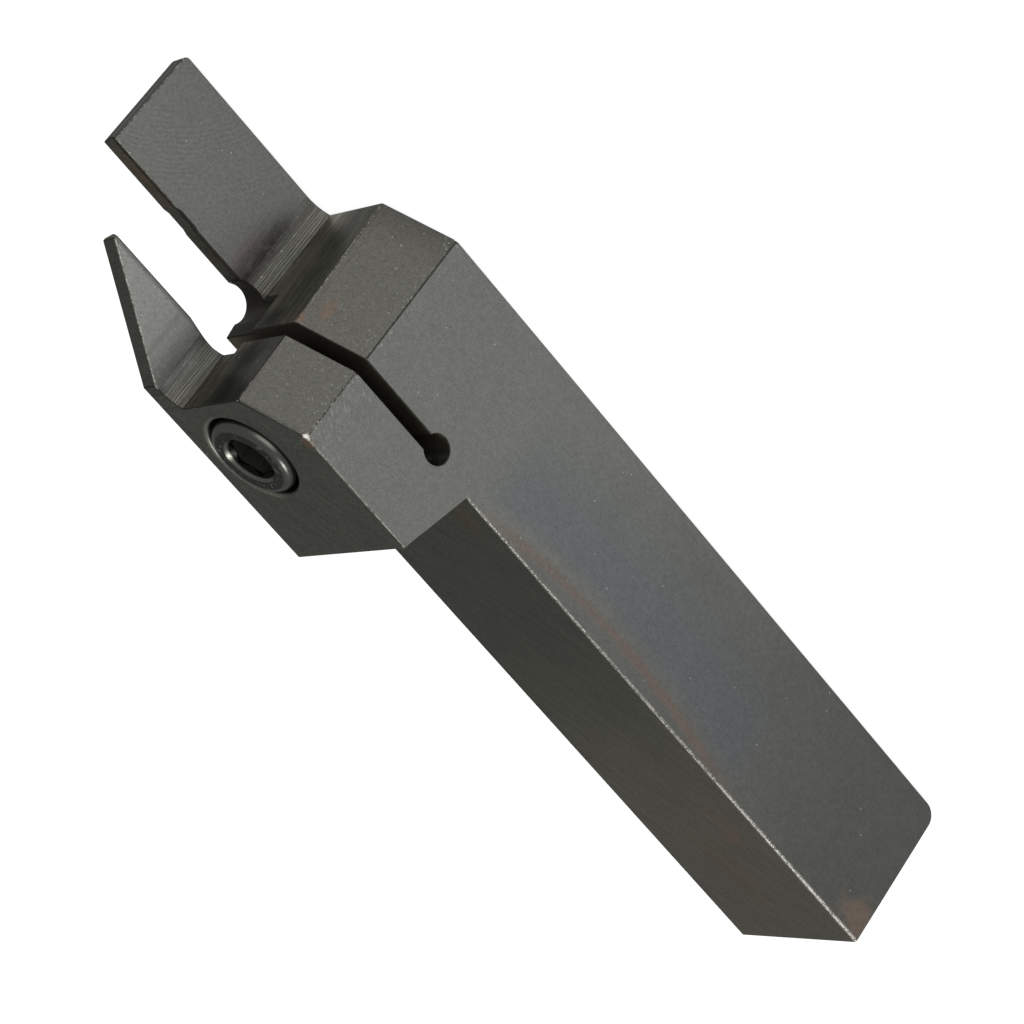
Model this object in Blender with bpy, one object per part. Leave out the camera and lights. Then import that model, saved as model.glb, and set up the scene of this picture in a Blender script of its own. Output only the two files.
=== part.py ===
# A right-hand parting and grooving tool holder for a lathe, of one machined steel bar
# with a slitted head, and the socket head screw that pulls its upper jaw down on an insert.
# Metres. +X runs forward to the cutting end, +Y to the side that carries the thin blade,
# +Z up to the side of the screw. The origin is the middle of the underside.
import math

import bmesh
import bpy

# Shank: the square bar that the tool post clamps.
OVERALL_LENGTH = 0.1005
SHANK_HEIGHT = 0.0160
SHANK_WIDTH = 0.0160
REAR_HEEL_RADIUS = 0.0015
REAR_LEAN = 0.0003           # how far the rear end's top stands in front of its heel
EDGE_CHAMFER = 0.0002        # on the long upper edges only

# Head: the taller front half, with a leaning back face and a bevelled front corner.
HEAD_RISE = 0.00775          # above the shank
HEAD_BACK_RUN = 0.0051       # foot of the step to the middle of the keyhole
HEAD_BACK_LEAN = 0.0020      # how far the step leans forward over its rise
BEVEL_RUN = 0.0052           # how far behind the shoulder the bevelled corner begins
BEVEL_ANGLE = math.radians(44)

# Blade: what is left of the bar in front of the shoulder, flush with the left side.
BLADE_REACH = 0.0194         # shoulder to cutting end, at half height
SHOULDER_LEAN = 0.0005       # how far the shoulder leans back over the whole height
BLADE_THICKNESS = 0.00195
BLADE_ROOT_RADIUS = 0.0040   # shallow fillet between the blade and the shoulder
BLADE_ROOT_RUN = 0.0025      # how far that fillet reaches along the blade
BLADE_TOE_RADIUS = 0.0005

# Insert pocket: a seat with a V groove below, a jaw with a V ridge above.
SEAT_DROP = 0.00525          # below the cutting edge, which is level with the shank's top
POCKET_OPENING = 0.00605     # seat to jaw
POCKET_DEPTH = 0.0044        # from the left side into the head
VEE_DEPTH = 0.0004
VEE_RUN_OUT = 0.0003         # over which the ridge fades at the back of the jaw's grip
SEAT_REST_LENGTH = 0.0080    # front rest, before the hollow in the seat
SEAT_HOLLOW_LENGTH = 0.0030
SEAT_HOLLOW_DEPTH = 0.00012
SEAT_HOLLOW_RAMP = 0.0005
STOP_INSET = 0.0002          # the wall that the insert's tail meets, behind the shoulder
STOP_ANGLE = math.radians(7)
RELIEF_RADIUS = 0.00184      # round corner between the seat and that wall
RELIEF_BITE_DOWN = 0.00044   # how deep the round corner cuts below the seat
RELIEF_BITE_BACK = 0.00024   # and behind the wall

# Jaw: the springy upper half of the head.
JAW_SETBACK = 0.00555        # cutting end to the jaw's nose
JAW_NOSE_HEIGHT = 0.00035
JAW_SLOPE = math.radians(30.5)
JAW_RELIEF_RISE = 0.0005     # how far the underside climbs behind its grip
JAW_RELIEF_RUN = 0.0030
JAW_RELIEF_FLAT = 0.00075    # level stretch between that climb and the jaw's root
JAW_ROOT_RADIUS = 0.0013
JAW_ROOT_FORWARD = 0.0003    # centre of the root's round, in front of the stop wall

# Slit and keyhole: they let the jaw bend.
SLIT_RISE = 0.0038           # floor of the slit above the seat
SLIT_WIDTH = 0.00145
KEYHOLE_RADIUS = 0.00135
KEYHOLE_SETBACK = 0.00895    # its centre behind the screw
KEYHOLE_DROP = 0.0009        # its centre below the slit's roof

# Clamp screw: M5 socket head cap screw and the hole it sits in.
SCREW_SETBACK = 0.00655      # its axis behind the shoulder
SCREW_OFFSET = 0.00165       # its axis towards the blade, from the middle
THREAD_RADIUS = 0.0025
SCREW_LENGTH = 0.0160        # under the head
SCREW_HEAD_RADIUS = 0.0042
SCREW_HEAD_HEIGHT = 0.0050
SCREW_HEAD_EDGE = 0.00085
SOCKET_FLATS = 0.0040
SOCKET_DEPTH = 0.0028
SOCKET_LEAD_IN = 0.00037
SOCKET_TURN = math.radians(37)
SCREW_POINT = 0.0006
HEAD_STAND = 0.0005          # screw head above the top of the jaw
COUNTERBORE_GAP = 0.0004     # round the screw's head
COUNTERBORE_CHAMFER = 0.0002
RUNNING_GAP = 0.0003         # between the screw and its hole and seat

# Places that follow from the sizes.
REAR_X = -OVERALL_LENGTH / 2
TIP_X = OVERALL_LENGTH / 2
LEFT_Y = SHANK_WIDTH / 2
RIGHT_Y = -SHANK_WIDTH / 2
SHOULDER_X = TIP_X - BLADE_REACH
BEVEL_X = SHOULDER_X - BEVEL_RUN
SCREW_X = SHOULDER_X - SCREW_SETBACK
KEYHOLE_X = SCREW_X - KEYHOLE_SETBACK
HEAD_X = KEYHOLE_X - HEAD_BACK_RUN
HEAD_TOP = SHANK_HEIGHT + HEAD_RISE
BLADE_Y = LEFT_Y - BLADE_THICKNESS
SEAT_Z = SHANK_HEIGHT - SEAT_DROP
JAW_X = TIP_X - JAW_SETBACK
JAW_Z = SEAT_Z + POCKET_OPENING
STOP_X = SHOULDER_X - STOP_INSET
SLIT_FLOOR = SEAT_Z + SLIT_RISE
SLIT_ROOF = SLIT_FLOOR + SLIT_WIDTH
SCREW_HEAD_TOP = HEAD_TOP + HEAD_STAND
SCREW_HEAD_SEAT = SCREW_HEAD_TOP - SCREW_HEAD_HEIGHT
COUNTERBORE_RADIUS = SCREW_HEAD_RADIUS + COUNTERBORE_GAP
COUNTERBORE_FLOOR = SCREW_HEAD_SEAT - RUNNING_GAP
SOCKET_CORNER = SOCKET_FLATS / 2 / math.cos(math.radians(30))
OVERRUN = 0.002              # how far a cutter reaches past what it cuts


def clear_scene():
    for old in list(bpy.data.objects):
        bpy.data.objects.remove(old, do_unlink=True)


def make_material(name, colour, roughness, metallic):
    material = bpy.data.materials.new(name)
    material.use_nodes = True
    shader = material.node_tree.nodes["Principled BSDF"]
    shader.inputs["Base Color"].default_value = (*colour, 1.0)
    shader.inputs["Roughness"].default_value = roughness
    shader.inputs["Metallic"].default_value = metallic
    material.diffuse_color = (*colour, 1.0)
    return material


def link_object(name, mesh, location=(0, 0, 0)):
    made = bpy.data.objects.new(name, mesh)
    made.location = location
    bpy.context.scene.collection.objects.link(made)
    return made


def arc(centre, radius, start, end, steps):
    """Points on an arc, from one angle to the other, both ends included."""
    points = []
    for step in range(steps + 1):
        angle = start + (end - start) * step / steps
        points.append((centre[0] + radius * math.cos(angle), centre[1] + radius * math.sin(angle)))
    return points


def loft(name, sections):
    """A closed solid through rings of points that have the same count, capped at both ends."""
    work = bmesh.new()
    rings = [[work.verts.new(point) for point in section] for section in sections]
    count = len(rings[0])
    for near, far in zip(rings, rings[1:]):
        for here in range(count):
            after = (here + 1) % count
            work.faces.new((near[here], near[after], far[after], far[here]))
    work.faces.new(rings[0])
    work.faces.new(rings[-1])
    bmesh.ops.recalc_face_normals(work, faces=work.faces)
    mesh = bpy.data.meshes.new(name)
    work.to_mesh(mesh)
    work.free()
    return mesh


def along_y(outline, start, end):
    """A side outline of (x, z) points, extruded from one y to the other."""
    return [[(x, y, z) for x, z in outline] for y in (start, end)]


def along_z(outline, start, end):
    """A plan outline of (x, y) points, extruded from one z to the other."""
    return [[(x, y, z) for x, y in outline] for z in (start, end)]


def revolve(name, profile, steps):
    """A solid turned about Z from (radius, z) points that start and end on the axis."""
    work = bmesh.new()
    line = [work.verts.new((radius, 0, z)) for radius, z in profile]
    edges = [work.edges.new(pair) for pair in zip(line, line[1:])]
    bmesh.ops.spin(work, geom=line + edges, cent=(0, 0, 0), axis=(0, 0, 1),
                   angle=math.tau, steps=steps, use_merge=True)
    bmesh.ops.remove_doubles(work, verts=work.verts, dist=1e-6)
    bmesh.ops.recalc_face_normals(work, faces=work.faces)
    mesh = bpy.data.meshes.new(name)
    work.to_mesh(mesh)
    work.free()
    return mesh


def cut(target, name, mesh, location=(0, 0, 0)):
    """Take a hidden cutter away from the target."""
    cutter = link_object(name, mesh, location)
    cutter.hide_render = True
    cutter.display_type = "WIRE"
    boolean = target.modifiers.new(name, "BOOLEAN")
    boolean.operation = "DIFFERENCE"
    boolean.solver = "EXACT"
    boolean.object = cutter


def bar_outline():
    """Side view of the bar before the front is cut: shank, step, head and sloping jaw."""
    heel = arc((REAR_X + REAR_HEEL_RADIUS, REAR_HEEL_RADIUS), REAR_HEEL_RADIUS,
               math.radians(270), math.radians(180) - REAR_LEAN / SHANK_HEIGHT, 8)
    toe = arc((TIP_X - BLADE_TOE_RADIUS, BLADE_TOE_RADIUS), BLADE_TOE_RADIUS,
              0, math.radians(-90), 6)
    nose_top = JAW_Z + JAW_NOSE_HEIGHT
    slope_start = JAW_X - (HEAD_TOP - nose_top) / math.tan(JAW_SLOPE)
    slope_end = nose_top - (TIP_X - JAW_X) * math.tan(JAW_SLOPE)
    return heel + [
        (REAR_X + REAR_LEAN, SHANK_HEIGHT),
        (HEAD_X, SHANK_HEIGHT),
        (HEAD_X + HEAD_BACK_LEAN, HEAD_TOP),
        (slope_start, HEAD_TOP),
        (TIP_X, slope_end),
    ] + toe


def is_long_upper_edge(edge):
    """True for the two edges along the top of the shank."""
    start, end = (corner.co for corner in edge.verts)
    level = abs(start.z - SHANK_HEIGHT) < 1e-6 and abs(end.z - SHANK_HEIGHT) < 1e-6
    return level and abs(start.y - end.y) < 1e-6


def bar_mesh():
    """The bar, with its long upper edges broken by a small chamfer."""
    mesh = loft("holder_body", along_y(bar_outline(), RIGHT_Y, LEFT_Y))
    work = bmesh.new()
    work.from_mesh(mesh)
    upper = [edge for edge in work.edges if is_long_upper_edge(edge)]
    bmesh.ops.bevel(work, geom=upper, offset=EDGE_CHAMFER, segments=1, affect="EDGES",
                    clamp_overlap=True)
    work.to_mesh(mesh)
    work.free()
    return mesh


def front_section(z):
    """Plan view, at one height, of what is milled away beside the blade."""
    shoulder = SHOULDER_X + SHOULDER_LEAN * (0.5 - z / HEAD_TOP)
    slope = math.tan(BEVEL_ANGLE)
    root = BLADE_ROOT_RADIUS
    sweep = math.asin(BLADE_ROOT_RUN / root)
    fillet = arc((shoulder + BLADE_ROOT_RUN, BLADE_Y - root), root,
                 math.radians(90) + sweep, math.radians(90), 10)
    front = TIP_X + OVERRUN
    outside = RIGHT_Y - OVERRUN
    outline = [
        (BEVEL_X - OVERRUN / slope, outside),
        (shoulder, RIGHT_Y + (shoulder - BEVEL_X) * slope),
    ] + fillet + [(front, BLADE_Y), (front, outside)]
    return [(x, y, z) for x, y in outline]


def pocket_sections():
    """The space for the insert: one side outline, lofted across so that the seat gets a
    V groove and the jaw a V ridge. Each point is (x, z, share of the V depth)."""
    front = TIP_X + OVERRUN
    down = RELIEF_RADIUS - RELIEF_BITE_DOWN
    back = RELIEF_RADIUS - RELIEF_BITE_BACK
    relief = arc((STOP_X + back, SEAT_Z + down), RELIEF_RADIUS,
                 -math.asin(down / RELIEF_RADIUS),
                 -math.pi - math.acos(back / RELIEF_RADIUS), 20)
    seat_end = relief[0][0]
    wall_low = relief[-1][1]
    wall_top_x = STOP_X - (SLIT_FLOOR - wall_low) * math.tan(STOP_ANGLE)
    hollow_front = TIP_X - SEAT_REST_LENGTH
    hollow_back = hollow_front - SEAT_HOLLOW_LENGTH
    hollow_z = SEAT_Z - SEAT_HOLLOW_DEPTH
    root_x = STOP_X + JAW_ROOT_FORWARD
    climb_end = root_x + JAW_RELIEF_FLAT
    grip_back = climb_end + JAW_RELIEF_RUN
    relief_roof = JAW_Z + JAW_RELIEF_RISE
    root = arc((root_x, relief_roof - JAW_ROOT_RADIUS), JAW_ROOT_RADIUS,
               math.radians(180), math.radians(90), 6)
    outline = [
        (front, SEAT_Z, 1),
        (hollow_front, SEAT_Z, 1),
        (hollow_front - SEAT_HOLLOW_RAMP, hollow_z, 1),
        (hollow_back + SEAT_HOLLOW_RAMP, hollow_z, 1),
        (hollow_back, SEAT_Z, 1),
        (seat_end, SEAT_Z, 1),
    ]
    outline += [(x, z, 0) for x, z in relief]
    outline += [(wall_top_x, SLIT_FLOOR, 0)]
    outline += [(root[0][0], SLIT_ROOF, 0)]
    outline += [(x, z, 0) for x, z in root if z > SLIT_ROOF]
    outline += [
        (climb_end, relief_roof, 0),
        (grip_back, JAW_Z, 0),
        (grip_back + VEE_RUN_OUT, JAW_Z, 1),
        (JAW_X, JAW_Z, 1),
        (JAW_X, HEAD_TOP + OVERRUN, 1),
        (front, HEAD_TOP + OVERRUN, 1),
    ]
    middle = (BLADE_Y + LEFT_Y) / 2
    stations = [(LEFT_Y - POCKET_DEPTH, 0), (BLADE_Y, 0), (middle, 1), (LEFT_Y, 0),
                (LEFT_Y + OVERRUN, 0)]
    return [[(x, y, z - VEE_DEPTH * share * full) for x, z, share in outline]
            for y, full in stations]


def screw_hole_profile():
    """Counterbore, clearance hole through the jaw and tapped hole down through the bar."""
    hole = THREAD_RADIUS + RUNNING_GAP
    mouth = COUNTERBORE_RADIUS + COUNTERBORE_CHAMFER
    return [
        (0, HEAD_TOP + OVERRUN),
        (mouth + OVERRUN, HEAD_TOP + OVERRUN),
        (mouth, HEAD_TOP),
        (COUNTERBORE_RADIUS, HEAD_TOP - COUNTERBORE_CHAMFER),
        (COUNTERBORE_RADIUS, COUNTERBORE_FLOOR),
        (hole, COUNTERBORE_FLOOR),
        (hole, -OVERRUN),
        (0, -OVERRUN),
    ]


def make_holder_body(steel):
    body = link_object("holder_body", bar_mesh())
    body.data.materials.append(steel)
    below = -OVERRUN
    above = HEAD_TOP + OVERRUN
    cut(body, "cut_front", loft("cut_front", [front_section(below), front_section(above)]))
    cut(body, "cut_pocket", loft("cut_pocket", pocket_sections()))
    slit_end = SHOULDER_X + SHOULDER_LEAN
    slit = [(KEYHOLE_X, SLIT_FLOOR), (slit_end, SLIT_FLOOR),
            (slit_end, SLIT_ROOF), (KEYHOLE_X, SLIT_ROOF)]
    ends = (RIGHT_Y - OVERRUN, LEFT_Y + OVERRUN)
    cut(body, "cut_slit", loft("cut_slit", along_y(slit, *ends)))
    keyhole = arc((KEYHOLE_X, SLIT_ROOF - KEYHOLE_DROP), KEYHOLE_RADIUS, 0, math.tau, 32)[:-1]
    cut(body, "cut_keyhole", loft("cut_keyhole", along_y(keyhole, *ends)))
    cut(body, "cut_screw_hole", revolve("cut_screw_hole", screw_hole_profile(), 64),
        (SCREW_X, SCREW_OFFSET, 0))
    return body


def screw_profile():
    """Half section of the screw from its point up to the middle of its head. z = 0 is
    under the head."""
    edge = arc((SCREW_HEAD_RADIUS - SCREW_HEAD_EDGE, SCREW_HEAD_HEIGHT - SCREW_HEAD_EDGE),
               SCREW_HEAD_EDGE, 0, math.radians(90), 5)
    return [
        (0, -SCREW_LENGTH),
        (THREAD_RADIUS - SCREW_POINT, -SCREW_LENGTH),
        (THREAD_RADIUS, SCREW_POINT - SCREW_LENGTH),
        (THREAD_RADIUS, 0),
        (SCREW_HEAD_RADIUS, 0),
    ] + edge + [(0, SCREW_HEAD_HEIGHT)]


def socket_mesh():
    """Hexagon socket, turned to where the key last left it."""
    hexagon = arc((0, 0), SOCKET_CORNER, SOCKET_TURN, SOCKET_TURN + math.tau, 6)[:-1]
    floor = SCREW_HEAD_HEIGHT - SOCKET_DEPTH
    return loft("cut_socket", along_z(hexagon, floor, SCREW_HEAD_HEIGHT + OVERRUN))


def lead_in_profile():
    """The cone that leads the key into the socket."""
    mouth = SOCKET_CORNER + SOCKET_LEAD_IN
    return [
        (0, SCREW_HEAD_HEIGHT + OVERRUN),
        (mouth + OVERRUN, SCREW_HEAD_HEIGHT + OVERRUN),
        (mouth, SCREW_HEAD_HEIGHT),
        (0, SCREW_HEAD_HEIGHT - mouth),
    ]


def make_clamp_screw(steel):
    screw = link_object("clamp_screw", revolve("clamp_screw", screw_profile(), 48),
                        (SCREW_X, SCREW_OFFSET, SCREW_HEAD_SEAT))
    screw.data.materials.append(steel)
    cut(screw, "cut_socket", socket_mesh(), screw.location)
    cut(screw, "cut_lead_in", revolve("cut_lead_in", lead_in_profile(), 48), screw.location)
    return screw


def shade(piece):
    piece.data.shade_smooth()
    piece.data.set_sharp_from_angle(angle=math.radians(30))


clear_scene()
body = make_holder_body(make_material("blackened_steel", (0.045, 0.044, 0.042), 0.42, 0.85))
screw = make_clamp_screw(make_material("black_screw_steel", (0.020, 0.020, 0.020), 0.30, 0.85))
for piece in (body, screw):
    shade(piece)
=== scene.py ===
# %% [markdown]
# # A parting tool holder, dressed for its portrait
#
# The object is one machined bar of blackened tool steel: a square shank, a taller head
# with a bevelled corner, and a thin blade that carries a cutting insert. A slit lets the
# upper jaw bend, and a socket head screw pulls it down on the insert.
#
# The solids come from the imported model, in metres, so nothing here has to be fitted. This
# notebook adds what a drawing leaves out: broken and worn edges, cutter marks, heat tints,
# rust stains, the screw's thread and grips, and the light that shows them.

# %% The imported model
import math

import bmesh
import bpy
from mathutils import Matrix, Vector


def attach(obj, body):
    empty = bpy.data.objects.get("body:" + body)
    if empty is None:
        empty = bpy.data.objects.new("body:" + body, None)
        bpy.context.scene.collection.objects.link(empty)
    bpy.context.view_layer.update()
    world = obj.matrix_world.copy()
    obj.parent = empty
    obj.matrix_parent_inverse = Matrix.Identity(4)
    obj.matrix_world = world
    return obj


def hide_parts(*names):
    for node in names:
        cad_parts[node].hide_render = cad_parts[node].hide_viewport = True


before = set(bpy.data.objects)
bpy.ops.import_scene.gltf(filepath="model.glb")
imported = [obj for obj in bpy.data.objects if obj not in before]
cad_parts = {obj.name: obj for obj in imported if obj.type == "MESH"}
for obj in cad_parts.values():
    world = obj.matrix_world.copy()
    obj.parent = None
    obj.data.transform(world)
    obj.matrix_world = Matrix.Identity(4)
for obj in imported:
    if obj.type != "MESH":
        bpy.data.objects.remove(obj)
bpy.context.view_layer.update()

# %% [markdown]
# ## The camera
#
# A photograph's camera can be found from the object itself: the corners of a square bar of
# known size, and where they lie in the picture, fix where the camera stood, how it was
# turned and how long its lens was. The three rows below are its right, its up and its back.
# A long lens from 29 cm away, rolled until the bar lies across the frame.

# %% Camera
CAMERA_PLACE = (0.1215776, -0.2276914, 0.1409682)
CAMERA_RIGHT = (-0.59709388, -0.61369511, -0.51658224)
CAMERA_UP = (0.68695355, -0.05866077, -0.72432985)
CAMERA_BACK = (0.41421458, -0.78736092, 0.45660602)
LENS_MM = 113.406
SENSOR_MM = 36.0
NEAREST_SEEN = 0.01

lens = bpy.data.cameras.new("portrait")
lens.sensor_width = SENSOR_MM
lens.lens = LENS_MM
lens.clip_start = NEAREST_SEEN
camera = bpy.data.objects.new("portrait", lens)
turn = Matrix((CAMERA_RIGHT, CAMERA_UP, CAMERA_BACK)).transposed()
camera.matrix_world = Matrix.Translation(CAMERA_PLACE) @ turn.to_4x4()
bpy.context.scene.collection.objects.link(camera)
bpy.context.scene.camera = camera
bpy.context.scene.view_settings.view_transform = "Standard"
print("camera", round(Vector(CAMERA_PLACE).length * 1000), "mm from the middle of the underside")

# %% [markdown]
# ## Mixing a material
#
# Every finish below is a recipe of a few kinds of step: a place on the object in
# millimetres, a noise read at that place, a soft threshold that makes a mask, and a coat
# of one tone over another. A few short helpers keep the recipes readable. Most of them take
# and return sockets, so that steps chain.

# %% Helpers for numbers and masks
def place_node(tree, kind, settings=None, **inputs):
    """Add a node, set its settings, and feed its inputs with values or with sockets."""
    node = tree.nodes.new(kind)
    for name, value in (settings or {}).items():
        setattr(node, name, value)
    for name, value in inputs.items():
        by_count = name[0] == "i" and name[1:].isdigit()
        socket = node.inputs[int(name[1:])] if by_count else node.inputs[name]
        if isinstance(value, bpy.types.NodeSocket):
            tree.links.new(value, socket)
        else:
            socket.default_value = value
    return node


def number(tree, operation, first, second=0.0, third=0.0):
    """One sum on one or two or three numbers."""
    node = place_node(tree, "ShaderNodeMath", {"operation": operation}, i0=first, i1=second, i2=third)
    return node.outputs[0]


def vector(tree, operation, first, second=(0.0, 0.0, 0.0)):
    """One sum on one or two vectors. A length or a distance comes out as a number."""
    node = place_node(tree, "ShaderNodeVectorMath", {"operation": operation}, i0=first, i1=second)
    return node.outputs["Value" if operation in ("LENGTH", "DISTANCE") else "Vector"]


def scaled(tree, value, factor, base):
    """The base plus the value times the factor."""
    return number(tree, "MULTIPLY_ADD", value, factor, base)


def sway(tree, noise, width, base):
    """The base, pushed up and down by a noise."""
    return scaled(tree, number(tree, "SUBTRACT", noise, 0.5), width, base)


def soften(tree, value, low, high):
    """0 below low and 1 above high, with a smooth climb between. low may be the larger."""
    node = place_node(tree, "ShaderNodeMapRange", {"interpolation_type": "SMOOTHSTEP", "clamp": True},
                      i0=value, i1=low, i2=high, i3=0.0, i4=1.0)
    return node.outputs[0]


def near_value(tree, value, middle, far, near):
    """1 within near of the middle value and 0 further off than far."""
    return soften(tree, number(tree, "ABSOLUTE", number(tree, "SUBTRACT", value, middle)), far, near)


def overlap(tree, *masks):
    """1 only where every mask is 1."""
    shared = masks[0]
    for mask in masks[1:]:
        shared = number(tree, "MULTIPLY", shared, mask)
    return shared


def opposite(tree, mask):
    """1 where the mask is 0, and 0 where it is 1."""
    return number(tree, "SUBTRACT", 1.0, mask)


print("numbers and masks ready")

# %% [markdown]
# A noise is read at a place, so stretching the place stretches the noise into lines. Tones
# are written as a picture editor shows them and made linear here, because the shader
# reckons in light and not in what the eye makes of it.

# %% Helpers for noises and tones
def tone(red, green, blue):
    """A colour as a picture editor gives it, from 0 to 255, made linear for the shader."""
    values = [c / 255 for c in (red, green, blue)]
    return tuple(v / 12.92 if v <= 0.04045 else ((v + 0.055) / 1.055) ** 2.4 for v in values) + (1.0,)


def mix(tree, amount, first, second, way="MIX"):
    """Two colours, mixed by an amount from 0 to 1."""
    node = place_node(tree, "ShaderNodeMix", {"data_type": "RGBA", "blend_type": way, "clamp_factor": True},
                      i0=amount, i6=first, i7=second)
    return node.outputs[2]


def coat(tree, colour, mask, strength, paint):
    """The colour under a coat of paint, laid where the mask is, at some strength."""
    return mix(tree, number(tree, "MULTIPLY", mask, strength), colour, paint)


def moved_place(tree, place, **inputs):
    """The place, shifted, turned or stretched by a Mapping node."""
    return place_node(tree, "ShaderNodeMapping", None, Vector=place, **inputs).outputs[0]


def grain(tree, place, scale, detail=2.0, roughness=0.5, stretch=(1, 1, 1), shift=(0, 0, 0)):
    """Noise from about 0.25 to 0.75. scale is in patches per millimetre, before stretch."""
    moved = moved_place(tree, place, Scale=stretch, Location=shift)
    node = place_node(tree, "ShaderNodeTexNoise", None, Vector=moved, Scale=scale,
                      Detail=detail, Roughness=roughness)
    return node.outputs["Fac"]


def start_finish(name):
    """A new material with its shader, and the place on the object in millimetres."""
    material = bpy.data.materials.new(name)
    material.use_nodes = True
    tree = material.node_tree
    shader = tree.nodes["Principled BSDF"]
    where = place_node(tree, "ShaderNodeTexCoord")
    place = place_node(tree, "ShaderNodeVectorMath", {"operation": "SCALE"},
                       i0=where.outputs["Object"], Scale=1000.0).outputs[0]
    return material, tree, shader, place, where.outputs["Normal"]


BLACK = (0.0, 0.0, 0.0, 1.0)
print("noises and tones ready")

# %% [markdown]
# ## The table and the light
#
# The photograph was taken on white, with the light low and from the camera's side: the
# flanks of the bar mirror the white table and look mid-grey, while the upper faces mirror
# the dim room and look almost black. So the table is a wide pale floor, the room is a
# plain grey, and one soft box stands beside the camera. The floor looks white to the eye
# and to anything that mirrors it, and still takes a faint shadow. A small hard lamp stands
# behind the heel: the crescents on the screw's crown, on its socket's mouth and on the rim
# of the counterbore all face the same way, and where they face tells where it stood.

# %% Floor, room and lamps
ROOM_LEVEL = 0.42
FLOOR_HALF_WIDTH = 3.0
FLOOR_DROP = 0.0002
FLOOR_OWN_LIGHT = 0.86

floor_mesh = bpy.data.meshes.new("floor")
half = FLOOR_HALF_WIDTH
floor_corners = [(-half, -half, 0), (half, -half, 0), (half, half, 0), (-half, half, 0)]
floor_mesh.from_pydata(floor_corners, [], [(0, 1, 2, 3)])
floor = bpy.data.objects.new("floor", floor_mesh)
floor.location.z = -FLOOR_DROP
bpy.context.scene.collection.objects.link(floor)

white_card = bpy.data.materials.new("white_card")
white_card.use_nodes = True
card = white_card.node_tree
card.nodes.clear()
rays = place_node(card, "ShaderNodeLightPath")
seen = number(card, "MAXIMUM", rays.outputs["Is Camera Ray"], rays.outputs["Is Glossy Ray"])
seen = number(card, "MAXIMUM", seen, rays.outputs["Is Transmission Ray"])
glow = place_node(card, "ShaderNodeEmission", None, Color=(1, 1, 1, 1),
                  Strength=number(card, "MULTIPLY", seen, FLOOR_OWN_LIGHT))
matt = place_node(card, "ShaderNodeBsdfDiffuse", None, Color=(0.4, 0.4, 0.4, 1))
both = place_node(card, "ShaderNodeAddShader", None, i0=glow.outputs[0], i1=matt.outputs[0])
place_node(card, "ShaderNodeOutputMaterial", None, Surface=both.outputs[0])
floor.data.materials.append(white_card)

room = bpy.data.worlds.new("room")
room.use_nodes = True
room.node_tree.nodes["Background"].inputs["Color"].default_value = (1, 1, 1, 1)
room.node_tree.nodes["Background"].inputs["Strength"].default_value = ROOM_LEVEL
bpy.context.scene.world = room


def soft_box(name, place, aim, side, watts):
    """A square lamp of one side length, turned to shine at a point."""
    lamp = bpy.data.lights.new(name, "AREA")
    lamp.shape = "SQUARE"
    lamp.size = side
    lamp.energy = watts
    stand = bpy.data.objects.new(name, lamp)
    stand.location = place
    stand.rotation_euler = (Vector(aim) - Vector(place)).to_track_quat("-Z", "Y").to_euler()
    bpy.context.scene.collection.objects.link(stand)
    return stand


soft_box("key_box", (0.25, -0.60, 0.30), (0, 0, 0.01), 0.60, 2.2)
soft_box("rim_lamp", (-0.39, -0.13, 0.43), (0.024, 0.002, 0.024), 0.12, 1.0)
print("room", ROOM_LEVEL, "and two lamps")

# %% [markdown]
# ## Blackened steel
#
# Black oxide is a skin about a micrometre thick, so the metal under it still shows its
# machining. It is dark, a little glossy, and its tint wanders: blue and brown where the
# piece was hot, grey where it was ground. Each face of the real bar has its own tone, so
# the recipe asks which way a face looks and where on the bar it is, never where the viewer
# stands. First come masks for the faces, each 1 on its own face and 0 elsewhere.
#
# Places in a finish are in millimetres, and those in the meshes in metres. X runs from -50
# at the heel to 50 at the tip, Y from -8 on the near flank to 8 on the far one, and Z from
# 0 underneath to 24 on the screw's head.

# %% Masks for the faces of the bar
holder_steel, tree, shader, place, looks = start_finish("blackened_steel")
X, Y, Z = place_node(tree, "ShaderNodeSeparateXYZ", None, i0=place).outputs
to_front, to_left, to_top = place_node(tree, "ShaderNodeSeparateXYZ", None, i0=looks).outputs
to_near = number(tree, "MULTIPLY", to_left, -1.0)

upper = soften(tree, to_top, 0.75, 0.95)
flank = soften(tree, number(tree, "ABSOLUTE", to_left), 0.97, 0.995)
front = soften(tree, to_front, 0.80, 0.97)
not_front = opposite(tree, front)
not_far_side = soften(tree, to_left, 0.5, 0.2)
facet = overlap(tree, soften(tree, to_front, 0.60, 0.66), soften(tree, to_near, 0.60, 0.68))
past_shoulder = soften(tree, X, 30.35, 30.6)
on_blade = overlap(tree, soften(tree, Y, 1.8, 2.0), past_shoulder, not_far_side)
not_blade = opposite(tree, on_blade)
on_jaw = soften(tree, Z, 17.0, 17.4)
root = overlap(tree, on_blade, soften(tree, X, 33.4, 31.6), not_front)
print("masks ready")

# %% [markdown]
# ## Broad tones
#
# The flanks run from dark at the heel to lighter at the head, and the top of the shank the
# other way round. Two noises, one in clouds of a centimetre and one ragged at two
# millimetres, keep every border from looking ruled.

# %% Tones of the flank, the top and the bevelled corner
cloud = grain(tree, place, 0.10, 3.0, 0.6)
ragged = grain(tree, place, 0.55, 4.0, 0.6)
along_bar = sway(tree, cloud, 16.0, X)

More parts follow.
